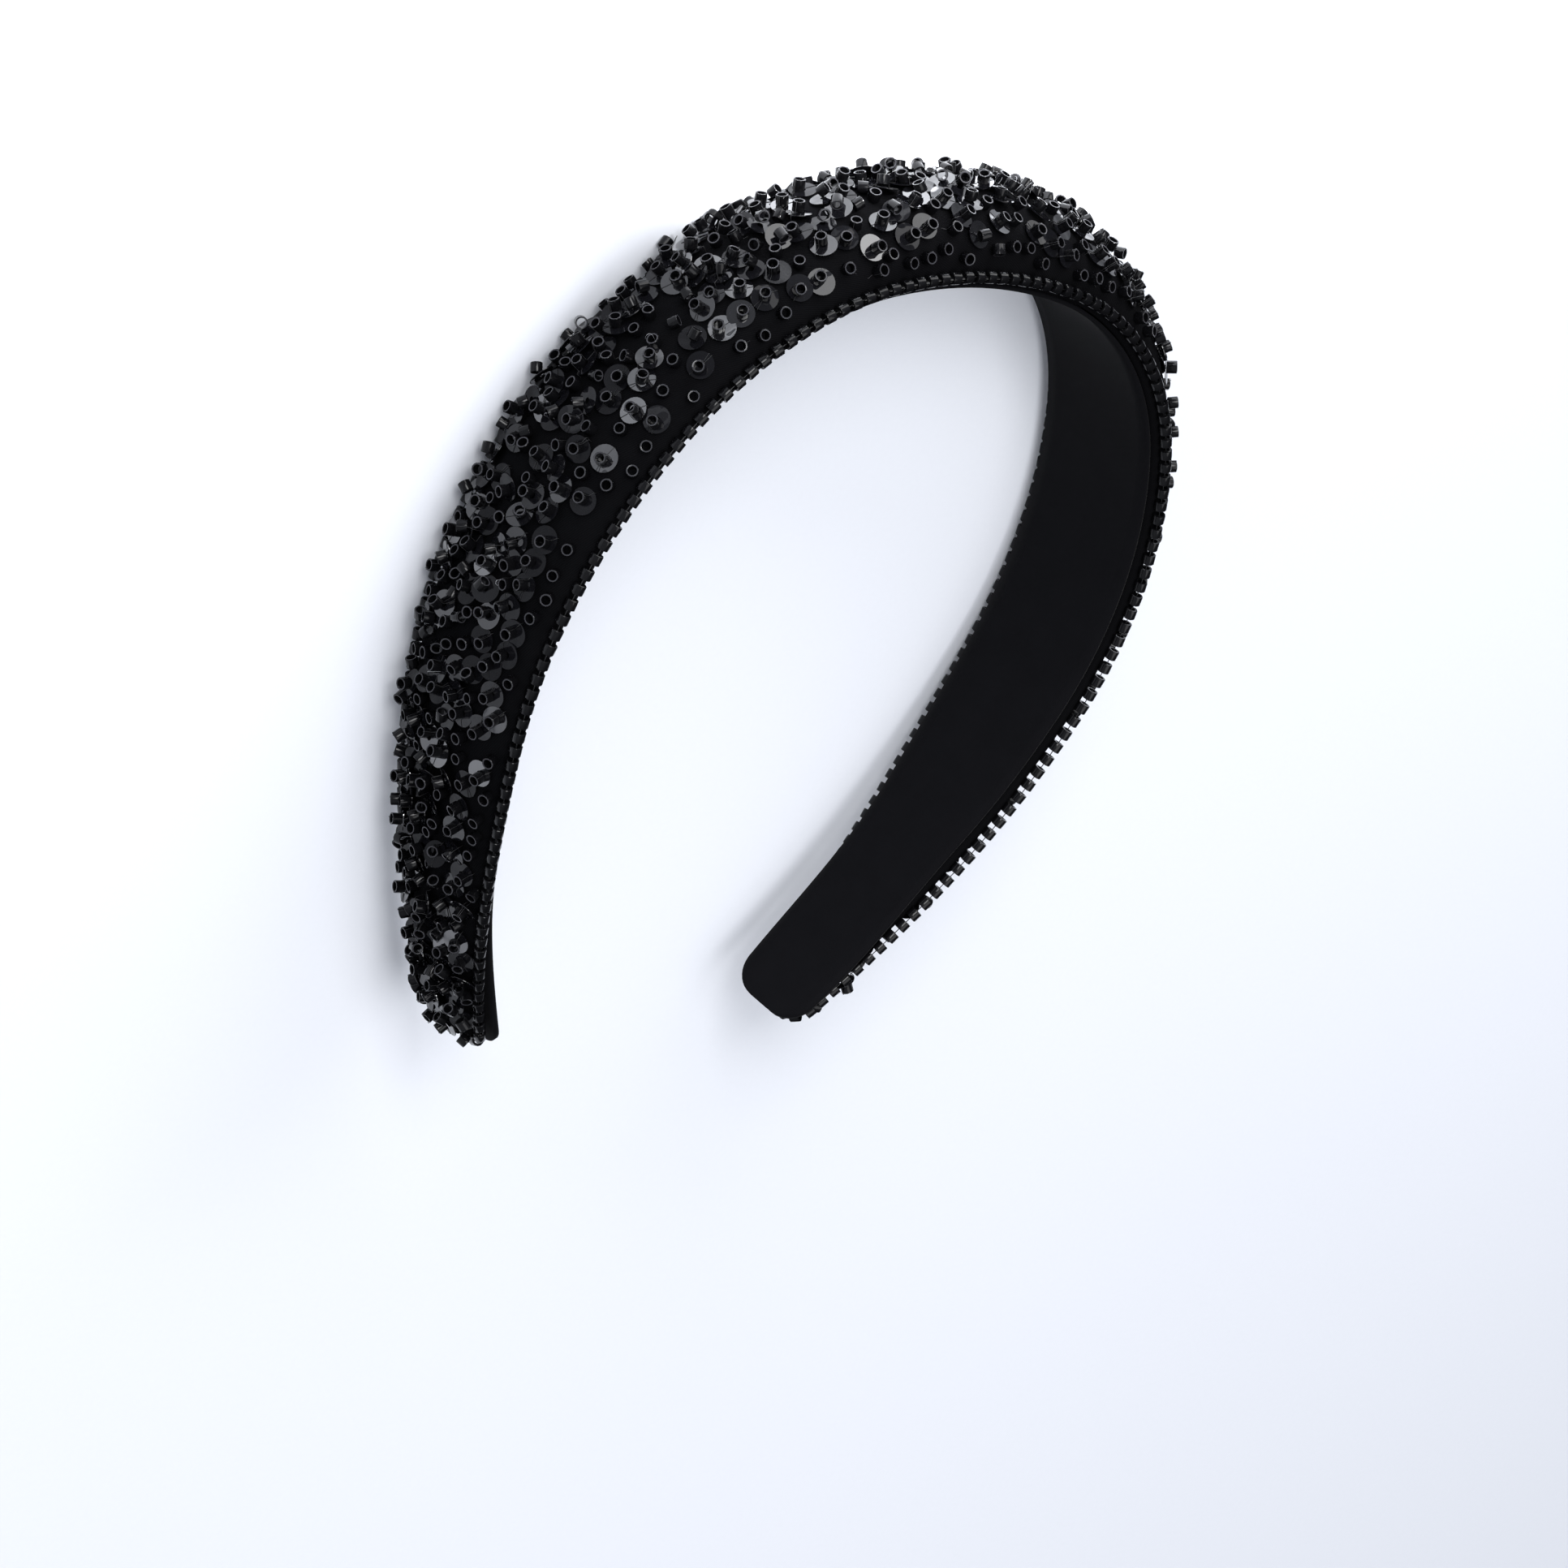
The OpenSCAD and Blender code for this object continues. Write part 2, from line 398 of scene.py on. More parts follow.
lining_rings = []
lining_places = []
for signed in rim_runs:
    along, half_width = rim_at(signed, -LINING_INSET, tip_brim)
    acrosses = [-half_width + 2 * half_width * i / LINING_STEPS for i in range(LINING_STEPS + 1)]
    ring = [(-LINING_GAP, across) for across in acrosses]
    acrosses = [half_width - 2 * half_width * i / LINING_STEPS for i in range(LINING_STEPS + 1)]
    ring += [(-LINING_GAP - LINING_THICKNESS, across) for across in acrosses]
    lining_rings.append([band_point(along, rise, across) * MM for rise, across in ring])
    lining_places.append([(along, across) for rise, across in ring])
smooth_cloth = cloth_material("smooth_black_cloth", color=(0.005, 0.005, 0.006), roughness=0.7, rib=0.3,
                              slant=math.radians(10), height=0.06, sheen=0.02)
lining = new_object("lining_strip", skin_mesh("lining", lining_rings, lining_places), smooth_cloth)
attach(lining, "root")
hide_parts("lining")
for i in range(rim_steps):
    near, near_width = rim_at(rim_length * i / rim_steps, -LINING_INSET, tip_brim)
    far, far_width = rim_at(rim_length * (i + 1) / rim_steps, -LINING_INSET, tip_brim)


# Edge beads. Short black cylinder beads on a thread, sewn right round the rim just above the edge;
# the front and back halves of the string meet at the middle of each tip.
EDGE_BEAD = 2.35
EDGE_BEAD_LENGTH = 1.9
EDGE_BEAD_HOLE = 1.5
EDGE_BEAD_SIDES = 12
EDGE_PITCH = 3.02
SOFT_RIM = 0.1
SHARP_ANGLE = math.radians(35)
THREAD = 0.2
THREAD_SIDES = 6
# The row's height over the inner face, and how far its thread pulls it onto the cover's edge
ROW_RISE = 2.0
ROW_PULL = 0.15
ROW_OUT = EDGE_BEAD / 2 - ROW_PULL
ROW_STEPS = 420
# How far from the middle of a tip each row ends
ROW_END = 0.15
ROW_WOBBLE = math.radians(3)
EDGE_ROWS = {
    # name: side of the band, seed
    "front_bead_row": (1, 3),
    "back_bead_row": (-1, 8),
}


def lathe(name, profile, sides):
    """A closed ring mesh turned round Z from a profile of radius and height in mm."""
    count = len(profile)
    points = []
    faces = []
    for k in range(sides):
        angle = 2 * math.pi * k / sides
        points += [(r * math.cos(angle) * MM, r * math.sin(angle) * MM, z * MM) for r, z in profile]
        here = k * count
        there = (k + 1) % sides * count
        for i in range(count):
            after = (i + 1) % count
            faces.append((here + i, there + i, there + after, here + after))
    made = bpy.data.meshes.new(name)
    made.from_pydata(points, [], faces)
    made.validate()
    made.shade_smooth()
    made.set_sharp_from_angle(angle=SHARP_ANGLE)
    return made


def bead_profile(outer, inner, length, soft):
    """Half section of a bead with a softened upper rim, from bottom to top and back through the hole."""
    return [(outer - soft / 2, 0), (outer, soft), (outer, length - soft), (outer - soft, length),
            (inner, length - soft / 2), (inner, 0)]


def both_ways(count, length):
    """Signed distances from tip to tip, with count steps to each side of the crown."""
    return [length * i / count for i in range(-count, count + 1)]


def row_course(edge):
    """The middle line of a bead row, from tip to tip: points half a mm or so apart."""
    end_run = rim_at(rim_length)[1]
    points = []
    for signed in both_ways(ROW_STEPS, rim_length + end_run):
        if abs(signed) <= rim_length:
            along, half_width = rim_at(signed, ROW_OUT)
        else:
            along = math.copysign(HALF + ROW_OUT, signed)
            half_width = end_run - (abs(signed) - rim_length)
        points.append(band_point(along, ROW_RISE, edge * max(half_width, ROW_END)) * MM)
    return points


# Drawn glass, cloudier in places. The faces marked as a bead's cut end are painted greyer: partly the
# frosted look of cut glass, partly a painted highlight for the bright rim.
DRAWN_GLASS = (0.003, 0.003, 0.0035)
CUT_GLASS_AND_RIM_HIGHLIGHT = (0.032, 0.032, 0.036)
GLASS_CLOUDS = 450.0
glass, glass_tree, glass_shader = new_material("black_glass_beads")
glass_shader.inputs["IOR"].default_value = 1.5
glass_shader.inputs["Specular IOR Level"].default_value = 0.18
cut_end_highlight_mask = add_node(glass_tree, "ShaderNodeAttribute", attribute_name="cut_end_highlight")
blend_color(glass_tree, glass_shader, cut_end_highlight_mask.outputs["Fac"], DRAWN_GLASS, CUT_GLASS_AND_RIM_HIGHLIGHT)
glass_clouds = add_grain(glass_tree, GLASS_CLOUDS, Detail=3.0)
glass_polish = add_node(glass_tree, "ShaderNodeMapRange", {
    "Value": glass_clouds, "From Min": 0.3, "From Max": 0.7, "To Min": 0.03, "To Max": 0.16})
glass_tree.links.new(glass_polish.outputs["Result"], glass_shader.inputs["Roughness"])
add_bump(glass_tree, glass_shader, glass_clouds, strength=0.3, distance=0.0001)

edge_profile = bead_profile(EDGE_BEAD / 2, EDGE_BEAD_HOLE / 2, EDGE_BEAD_LENGTH, SOFT_RIM)
edge_profile = [(r, z - EDGE_BEAD_LENGTH / 2) for r, z in edge_profile]
edge_bead = new_object("edge_bead", lathe("edge_bead", edge_profile, EDGE_BEAD_SIDES), glass)


def geometry_tree(name, sockets):
    """A Geometry Nodes tree with one geometry input and output and the named inputs."""
    tree = bpy.data.node_groups.new(name, "GeometryNodeTree")
    tree.interface.new_socket("Geometry", in_out="INPUT", socket_type="NodeSocketGeometry")
    tree.interface.new_socket("Geometry", in_out="OUTPUT", socket_type="NodeSocketGeometry")
    for label, kind in sockets.items():
        tree.interface.new_socket(label, in_out="INPUT", socket_type="NodeSocket" + kind)
    start = tree.nodes.new("NodeGroupInput")
    end = tree.nodes.new("NodeGroupOutput")
    return tree, start.outputs, end.inputs


def grow(name, host, tree, values):
    """Runs a tree on a host object and returns the result as a plain mesh object."""
    modifier = host.modifiers.new(tree.name, "NODES")
    modifier.node_group = tree
    for item in tree.interface.items_tree:
        if item.in_out == "INPUT" and item.name in values:
            modifier[item.identifier] = values[item.name]
    host.update_tag()
    graph = bpy.context.evaluated_depsgraph_get()
    mesh = bpy.data.meshes.new_from_object(host.evaluated_get(graph))
    mesh.name = name
    host.modifiers.remove(modifier)
    return new_object(name, mesh)


# Beads at even steps along a curve, each a little askew, and the thread that they are strung on
string_tree, given, result = geometry_tree("bead_string", {
    "Bead": "Object", "Pitch": "Float", "Wobble": "Float", "Thread": "Float", "Seed": "Int",
    "Bead material": "Material", "Thread material": "Material"})
spots = add_node(string_tree, "GeometryNodeCurveToPoints", {
    "Curve": given["Geometry"], "Length": given["Pitch"]}, mode="LENGTH")
bead_info = add_node(string_tree, "GeometryNodeObjectInfo", {"Object": given["Bead"]})
sway = add_node(string_tree, "FunctionNodeRandomValue", data_type="FLOAT_VECTOR")
sway.inputs["Min"].default_value = (-1, -1, -3)
sway.inputs["Max"].default_value = (1, 1, 3)
string_tree.links.new(given["Seed"], sway.inputs["Seed"])
swayed = add_node(string_tree, "ShaderNodeVectorMath", {0: sway.outputs["Value"]}, operation="SCALE")
string_tree.links.new(given["Wobble"], swayed.inputs["Scale"])
set_beads = add_node(string_tree, "GeometryNodeInstanceOnPoints", {
    "Points": spots.outputs["Points"], "Instance": bead_info.outputs["Geometry"],
    "Rotation": spots.outputs["Rotation"]})
rocked = add_node(string_tree, "GeometryNodeRotateInstances", {"Instances": set_beads.outputs["Instances"]})
string_tree.links.new(swayed.outputs["Vector"], rocked.inputs["Rotation"])
real_beads = add_node(string_tree, "GeometryNodeRealizeInstances", {
    "Geometry": rocked.outputs["Instances"]})
shown_beads = add_node(string_tree, "GeometryNodeSetMaterial", {
    "Geometry": real_beads.outputs["Geometry"], "Material": given["Bead material"]})
round_section = add_node(string_tree, "GeometryNodeCurvePrimitiveCircle", {"Resolution": THREAD_SIDES})
string_tree.links.new(given["Thread"], round_section.inputs["Radius"])
strand = add_node(string_tree, "GeometryNodeCurveToMesh", {
    "Curve": given["Geometry"], "Profile Curve": round_section.outputs["Curve"], "Fill Caps": True})
shown_strand = add_node(string_tree, "GeometryNodeSetMaterial", {
    "Geometry": strand.outputs["Mesh"], "Material": given["Thread material"]})
whole = add_node(string_tree, "GeometryNodeJoinGeometry")
string_tree.links.new(shown_beads.outputs["Geometry"], whole.inputs["Geometry"])
string_tree.links.new(shown_strand.outputs["Geometry"], whole.inputs["Geometry"])
string_tree.links.new(whole.outputs["Geometry"], result["Geometry"])

THREAD_FIBRE = 6000.0
THREAD_TONES = ((0.005, 0.005, 0.006), (0.012, 0.012, 0.013))
thread, thread_tree, thread_shader = new_material("black_thread", roughness=0.55)
blend_color(thread_tree, thread_shader, add_grain(thread_tree, THREAD_FIBRE), *THREAD_TONES)


def curve_through(name, points):
    """A curve object of straight runs from point to point."""
    data = bpy.data.curves.new(name, "CURVE")
    data.dimensions = "3D"
    line = data.splines.new("POLY")
    line.points.add(len(points) - 1)
    for spot, place in zip(line.points, points):
        spot.co = (*place, 1)
    return new_object(name, data)


for name, (edge, seed) in EDGE_ROWS.items():
    course = curve_through(name + "_course", row_course(edge))
    string = grow(name + "_beads", course, string_tree, {
        "Bead": edge_bead, "Pitch": EDGE_PITCH * MM, "Wobble": ROW_WOBBLE, "Thread": THREAD / 2 * MM,
        "Seed": seed, "Bead material": glass, "Thread material": thread})
    bpy.data.objects.remove(course)
    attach(string, "root")
    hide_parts(name)
bpy.data.objects.remove(edge_bead)


# Stitch points. The needle comes up through the cover all over the dome, close together over the ridge
# and behind it, wider apart in front, and leaves a bare margin at the edges that narrows towards the
# tips. Each point holds a bead, most a sequin too.
FIELD_MARGINS = {0: 4.4, 0.35: 3.8, 0.7: 3.0, 1: 1.7}
FIELD_STEPS = 24
FIELD_END = 2.2
DOME_TURN = math.radians(1)
STITCH_SPACING = 3.35
FRONT_SPACING = 4.1
TRIAL_SPACING = 1.1
TRIAL_DENSITY = 4e6
TRIAL_SEED = 5
CHANCE_SEED = 5


def field_band(along, half_width):
    """Dome angle of the field's border, and the cloth's length over the dome from border to border."""
    margin = smooth_at(abs(along) / HALF, FIELD_MARGINS)
    rise = rise_at(along)
    angle, run, border = 0.0, 0.0, 0.0
    last = (0.0, -half_width)
    while angle < math.pi / 2:
        angle += DOME_TURN
        here = (rise * math.sin(angle) ** DOME_POWER, -half_width * math.cos(angle))
        run += math.hypot(here[0] - last[0], here[1] - last[1])
        last = here
        if run < margin:
            border = angle
    return border, 2 * (run - margin)


field_points, lengthways, from_front, depths, shares = [], [], [], [], []
for signed in both_ways(rim_steps, HALF - FIELD_END):
    along, half_width = rim_at(signed)
    low, width = field_band(along, half_width)
    turn = bend_at(abs(along))[2]
    for i in range(FIELD_STEPS + 1):
        angle = low + (math.pi - 2 * low) * i / FIELD_STEPS
        rise = EDGE_THICKNESS + rise_at(along) * math.sin(angle) ** DOME_POWER
        field_points.append(band_point(along, rise, -half_width * math.cos(angle)) * MM)
        lengthways.append((math.cos(turn), -math.copysign(math.sin(turn), along), 0))
        depths.append(1 - i / FIELD_STEPS)
        from_front.append(width * depths[-1])
        shares.append(abs(along) / HALF)
wide = FIELD_STEPS + 1
field_faces = [(i * wide + j, i * wide + j + 1, (i + 1) * wide + j + 1, (i + 1) * wide + j)
               for i in range(2 * rim_steps) for j in range(FIELD_STEPS)]
field_mesh = bpy.data.meshes.new("field")
field_mesh.from_pydata(field_points, [], field_faces)
field_marks = {
    # name: type, the name of its value, values
    "lengthways": ("FLOAT_VECTOR", "vector", np.ravel(lengthways)),
    "from_front": ("FLOAT", "value", from_front),
    "depth": ("FLOAT", "value", depths),
    "share": ("FLOAT", "value", shares),
}
for name, (kind, key, values) in field_marks.items():
    field_mesh.attributes.new(name, kind, "POINT").data.foreach_set(key, values)
field = new_object("field", field_mesh)

scatter_tree, given, result = geometry_tree("stitch_points", {"Spacing": "Float", "Seed": "Int"})
stitches = add_node(scatter_tree, "GeometryNodeDistributePointsOnFaces", {
    "Mesh": given["Geometry"], "Distance Min": given["Spacing"], "Seed": given["Seed"],
    "Density Max": TRIAL_DENSITY}, distribute_method="POISSON")
kept_normal = add_node(scatter_tree, "GeometryNodeStoreNamedAttribute", {
    "Geometry": stitches.outputs["Points"], "Name": "cloth_normal", "Value": stitches.outputs["Normal"]},
    data_type="FLOAT_VECTOR", domain="POINT")
as_mesh = add_node(scatter_tree, "GeometryNodePointsToVertices", {
    "Points": kept_normal.outputs["Geometry"]})
scatter_tree.links.new(as_mesh.outputs["Mesh"], result["Geometry"])
stitch_points = grow("stitch_points", field, scatter_tree, {
    "Spacing": TRIAL_SPACING * MM, "Seed": TRIAL_SEED})
bpy.data.objects.remove(field)


def read_values(items, key, width=1):
    """One value of each item as an array, in rows where a value has more than one number."""
    values = np.empty(len(items) * width)
    items.foreach_get(key, values)
    return values.reshape(-1, width) if width > 1 else values


def unit(vectors):
    """The same directions at length one."""
    return vectors / np.linalg.norm(vectors, axis=-1, keepdims=True)


def smooth_step(value, low, high):
    """Rises smoothly from 0 at low to 1 at high."""
    share = np.clip((value - low) / (high - low), 0, 1)
    return share * share * (3 - 2 * share)


marks = stitch_points.data.attributes
places = read_values(marks["position"].data, "vector", 3) / MM
depths = read_values(marks["depth"].data, "value")
shares = read_values(marks["share"].data, "value")
normals = unit(read_values(marks["cloth_normal"].data, "vector", 3))
lengths = read_values(marks["lengthways"].data, "vector", 3)
fronts = read_values(marks["from_front"].data, "value")
bpy.data.objects.remove(stitch_points)

# How crowded and untidy the work is at each point: neat along the front of the crown and the legs, wild
# over the ridge, behind it and at the tips. Depth is 0 at the front border of the field and 1 at its
# back border, share 0 at the crown and 1 at a tip.
WILD_DEPTHS = (0.2, 0.5)
CROWDED_DEPTHS = (0.25, 0.5)
TIP_SHARES = (0.7, 0.9)
TIP_WILDNESS = 0.8
near_tips = TIP_WILDNESS * smooth_step(shares, *TIP_SHARES)
wild = np.maximum(smooth_step(depths, *WILD_DEPTHS), near_tips)
crowded = np.maximum(smooth_step(depths, *CROWDED_DEPTHS), near_tips)
spacings = FRONT_SPACING + (STITCH_SPACING - FRONT_SPACING) * crowded
kept = []
for i in range(len(places)):
    if not kept or np.linalg.norm(places[kept] - places[i], axis=1).min() > spacings[i]:
        kept.append(i)
places, depths, shares, wild, normals, lengths, fronts = (
    values[kept] for values in (places, depths, shares, wild, normals, lengths, fronts))
lengths = unit(lengths - (lengths * normals).sum(1)[:, None] * normals)
across = np.cross(normals, lengths)
count = len(places)
chance = np.random.default_rng(CHANCE_SEED)


def by_wildness(neat, more):
    """A value at each point: neat where the work is neat, and so much more where it is wild."""
    return neat + more * wild


# Swell of the cover. The foam presses the cloth out between the stitches, which hold it down. It is
# simulated as cloth on an enlarged copy that starts a little inside its place, with edges and stitches
# pinned, and no point moves out past the cover's own shape.
SWELL = 0.4
SWELL_SCALE = 20
SWELL_FRAMES = 20
SWELL_PRESSURE = 60
SWELL_QUALITY = 5
# The cloth comes free between these sines of the dome's angle, and these distances from a tip
FREE_SINES = (0.12, 0.5)
FREE_ENDS = (1.5, 8)
points = read_values(cover_mesh.vertices, "co", 3) / MM
outward = read_values(cover_mesh.vertex_normals, "vector", 3)
free = np.zeros((len(cover_rings), DOME_STEPS + 1 + BASE_STEPS + 1))
free[:, :DOME_STEPS + 1] = smooth_step(np.sin(np.pi * np.arange(DOME_STEPS + 1) / DOME_STEPS), *FREE_SINES)
ends = np.array([HALF - abs(ring[0][0]) for ring in cover_places])
free = (free * smooth_step(ends, *FREE_ENDS)[:, None]).ravel()
starts = points - outward * (SWELL * free)[:, None]
held = set(np.flatnonzero(free == 0).tolist())
for place in places:
    held.add(int(np.argmin(np.linalg.norm(points - place, axis=1))))
swelling_mesh = cover_mesh.copy()
swelling_mesh.vertices.foreach_set("co", (starts * MM * SWELL_SCALE).ravel())
swelling = new_object("swelling", swelling_mesh)
swelling.vertex_groups.new(name="held").add(sorted(held), 1.0, "REPLACE")
cloth = swelling.modifiers.new("cloth", "CLOTH")
cloth.settings.vertex_group_mass = "held"
cloth.settings.quality = SWELL_QUALITY
cloth.settings.use_pressure = True
cloth.settings.uniform_pressure_force = SWELL_PRESSURE
cloth.settings.effector_weights.gravity = 0
cloth.collision_settings.use_collision = False
for moment in range(1, SWELL_FRAMES + 1):
    bpy.context.scene.frame_set(moment)
swollen = bpy.data.meshes.new_from_object(swelling.evaluated_get(bpy.context.evaluated_depsgraph_get()))
reached = read_values(swollen.vertices, "co", 3) / MM / SWELL_SCALE
moved = ((reached - starts) * outward).sum(1)
points = starts + outward * np.clip(moved, 0, SWELL * free)[:, None]
bpy.data.objects.remove(swelling)
bpy.data.meshes.remove(swollen)
bpy.context.scene.frame_set(1)
cover_mesh.vertices.foreach_set("co", (points * MM).ravel())
cover_mesh.update()
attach(cover, "root")
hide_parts("padded_cover")


# Sequins. Flat round discs of glossy black film, 5 mm across with a small hole. The row of stitch
# points nearest the front has none, except near the tips. They overlap like shingles, each edge over or
# under the next.
SEQUIN = 5.0
SEQUIN_HOLE = 1.1
SEQUIN_FILM = 0.14
SEQUIN_LIFT = 0.3
SEQUIN_SIDES = 24
SEQUIN_SIZES = (0.98, 1.02)
sequin_profile = [(SEQUIN_HOLE / 2, 0), (SEQUIN / 2, 0),
                  (SEQUIN / 2, SEQUIN_FILM), (SEQUIN_HOLE / 2, SEQUIN_FILM)]
sequin_mesh = lathe("sequin", sequin_profile, SEQUIN_SIDES)

# The film's clear coat is as strong as the mark gloss says, so that most discs are dark and a few bright
GLOSS_POWER = 4
FILM_RIPPLES = 260.0
film, film_tree, film_shader = new_material("black_sequin_film", roughness=0.05)
film_shader.inputs["Base Color"].default_value = (0.004, 0.004, 0.005, 1)
film_shader.inputs["IOR"].default_value = 1.22
film_shader.inputs["Coat Roughness"].default_value = 0.04
film_shader.inputs["Coat IOR"].default_value = 2.3
gloss = add_node(film_tree, "ShaderNodeAttribute", attribute_name="gloss")
film_tree.links.new(gloss.outputs["Fac"], film_shader.inputs["Coat Weight"])
film_ripples = add_grain(film_tree, FILM_RIPPLES, Detail=1.0)
film_bump = add_bump(film_tree, film_shader, film_ripples, strength=0.8, distance=0.0004)
film_tree.links.new(film_bump, film_shader.inputs["Coat Normal"])

# Width of the front strip without sequins, which ends towards the tips, and how far it wanders
BARE_FRONT = 2.6
BARE_ENDS = (0.7, 0.95)
BARE_LEAST = 0.6
BARE_WANDER = 0.8
# Share of the other stitches that hold a sequin: where the work is neat, and what it loses where it is wild
SEQUIN_CHANCE = (0.93, -0.22)
bare_front = BARE_FRONT * (1 - smooth_step(shares, *BARE_ENDS))
bare_front = bare_front * (BARE_LEAST + BARE_WANDER * chance.random(count))
has_sequin = (fronts > bare_front) & (chance.random(count) < by_wildness(*SEQUIN_CHANCE))

# The lean of each disc: its slope along the band and across it. A disc that lies over its neighbour is
# raised on that side, one that lies under it is pressed down, and the slope lifts its middle off the cloth.
LEAN_SPREAD = (0.07, 0.15)
MOST_LEAN = (0.15, 0.45)
NEIGHBOUR = SEQUIN * 1.05
RAISED = 0.10
PRESSED = -0.07
HELD_UP = 0.38
lean = chance.normal(size=(count, 2)) * by_wildness(*LEAN_SPREAD)[:, None]
rank = chance.random(count)
for i in range(count):
    for j in np.flatnonzero(np.linalg.norm(places - places[i], axis=1) < NEIGHBOUR):
        if j != i and has_sequin[i] and has_sequin[j]:
            way = places[j] - places[i]
            way = np.array((way @ lengths[i], way @ across[i]))
            lean[i] += way / np.linalg.norm(way) * (RAISED if rank[i] > rank[j] else PRESSED)
slope = np.linalg.norm(lean, axis=1)
lean *= (np.minimum(slope, by_wildness(*MOST_LEAN)) / slope)[:, None]
slope = np.linalg.norm(lean, axis=1) * has_sequin
faces_up = unit(normals - has_sequin[:, None] * (lean[:, :1] * lengths + lean[:, 1:] * across))
seats = places + normals * (has_sequin * (SEQUIN_LIFT + HELD_UP * SEQUIN * slope))[:, None]


def turns_to(axes, sides):
    """Turns that bring Z to each axis and X towards each side."""
    sides = unit(sides - (sides * axes).sum(1)[:, None] * axes)
    frames = np.stack([sides, np.cross(axes, sides), axes], axis=2)
    return [Matrix(turn.tolist()).to_quaternion() for turn in frames]


# One tree sets a small piece at each of many places, turned and sized as their marks say
setting_tree, given, result = geometry_tree("set_pieces", {"Piece": "Object", "Material": "Material"})
piece = add_node(setting_tree, "GeometryNodeObjectInfo", {"Object": given["Piece"]})
turn_there = add_node(setting_tree, "GeometryNodeInputNamedAttribute", {"Name": "turn"},
                      data_type="QUATERNION")
size_there = add_node(setting_tree, "GeometryNodeInputNamedAttribute", {"Name": "size"},
                      data_type="FLOAT")
placed = add_node(setting_tree, "GeometryNodeInstanceOnPoints", {
    "Points": given["Geometry"], "Instance": piece.outputs["Geometry"],
    "Rotation": turn_there.outputs["Attribute"], "Scale": size_there.outputs["Attribute"]})
real = add_node(setting_tree, "GeometryNodeRealizeInstances", {"Geometry": placed.outputs["Instances"]})
shown = add_node(setting_tree, "GeometryNodeSetMaterial", {
    "Geometry": real.outputs["Geometry"], "Material": given["Material"]})
setting_tree.links.new(shown.outputs["Geometry"], result["Geometry"])


def set_pieces(name, mesh, spots, turns, sizes, gloss, material):
    """The mesh set at spots in mm, joined in one named piece that rides on the band."""
    model = new_object(name + "_model", mesh, material)
    hosts = bpy.data.meshes.new(name + "_spots")
    hosts.from_pydata((spots * MM).tolist(), [], [])
    turns = np.ravel([tuple(turn) for turn in turns])
    hosts.attributes.new("turn", "QUATERNION", "POINT").data.foreach_set("value", turns)
    hosts.attributes.new("size", "FLOAT", "POINT").data.foreach_set("value", sizes)
    hosts.attributes.new("gloss", "FLOAT", "POINT").data.foreach_set("value", gloss)
    host = new_object(name + "_spots", hosts)
    made = grow(name, host, setting_tree, {"Piece": model, "Material": material})
    bpy.data.objects.remove(host)
    bpy.data.objects.remove(model)
    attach(made, "root")


spins = chance.normal(size=(count, 3))
some = np.flatnonzero(has_sequin)
sequin_sizes = chance.uniform(*SEQUIN_SIZES, len(some))
sequin_gloss = chance.uniform(0, 1, len(some)) ** GLOSS_POWER
set_pieces("sequins", sequin_mesh, seats[some], turns_to(faces_up[some], spins[some]), sequin_sizes,
           sequin_gloss, film)


# Tube beads. Thin-walled black cylinders, a little narrower than those of the edge rows, one sewn on end
# at each stitch, over the hole of its sequin; most lean a little, and over the ridge some have fallen over.
TUBE_BEAD = 2.25
TUBE_BEAD_HOLE = 1.7
TUBE_BEAD_LENGTH = 1.85
TUBE_BEAD_SIDES = 14
TUBE_BEAD_RIM = 0.06
TUBE_BEAD_SIZES = (0.95, 1.04)
# A bead's height above the film, and the share of its length that it rolls back by as it tips
BEAD_LIFT = 0.03
ROLL_BACK = 0.45
# Tips in degrees, of the beads that stand and of those that have fallen over
TIP_SPREAD = (5, 13)
MOST_TIP = 40
FALLEN_CHANCE = (0.03, 0.2)
FALLEN_TIPS = (50, 90)
# How far a bead slides off the middle of its sequin
MOST_SLIDE = (0.75, 0.2)
tube_profile = bead_profile(TUBE_BEAD / 2, TUBE_BEAD_HOLE / 2, TUBE_BEAD_LENGTH, TUBE_BEAD_RIM)
bead_mesh = lathe("tube_bead", tube_profile, TUBE_BEAD_SIDES)
# Of the six faces round the wall the fourth is the upper end, where the glass was cut off and where the
# greyer colour paints the rim's highlight
cut_end_highlight = [0.0, 0.0, 0.0, 1.0, 0.0, 0.0] * TUBE_BEAD_SIDES
bead_mesh.attributes.new("cut_end_highlight", "FLOAT", "FACE").data.foreach_set("value", cut_end_highlight)

tips = np.abs(chance.normal(size=count)) * np.radians(by_wildness(*TIP_SPREAD))
fallen = chance.random(count) < by_wildness(*FALLEN_CHANCE)
fallen_tips = np.radians(chance.uniform(*FALLEN_TIPS, count))
tips = np.where(fallen, fallen_tips, np.minimum(tips, np.radians(MOST_TIP)))
headings = chance.uniform(0, 2 * math.pi, count)
frame_x = unit(lengths - (lengths * faces_up).sum(1)[:, None] * faces_up)
frame_y = np.cross(faces_up, frame_x)
tip_ways = np.cos(headings)[:, None] * frame_x + np.sin(headings)[:, None] * frame_y
bead_axes = np.cos(tips)[:, None] * faces_up + np.sin(tips)[:, None] * tip_ways
slides = np.sqrt(chance.uniform(0, 1, count)) * by_wildness(*MOST_SLIDE)
slide_ways = chance.uniform(0, 2 * math.pi, count)
slid = slides[:, None] * (np.cos(slide_ways)[:, None] * frame_x + np.sin(slide_ways)[:, None] * frame_y)
lifts = has_sequin * SEQUIN_FILM + BEAD_LIFT + TUBE_BEAD / 2 * np.sin(tips)
rolls = TUBE_BEAD_LENGTH * ROLL_BACK * np.sin(tips)
bead_feet = seats + faces_up * lifts[:, None] + slid - tip_ways * rolls[:, None]
bead_sizes = chance.uniform(*TUBE_BEAD_SIZES, count)
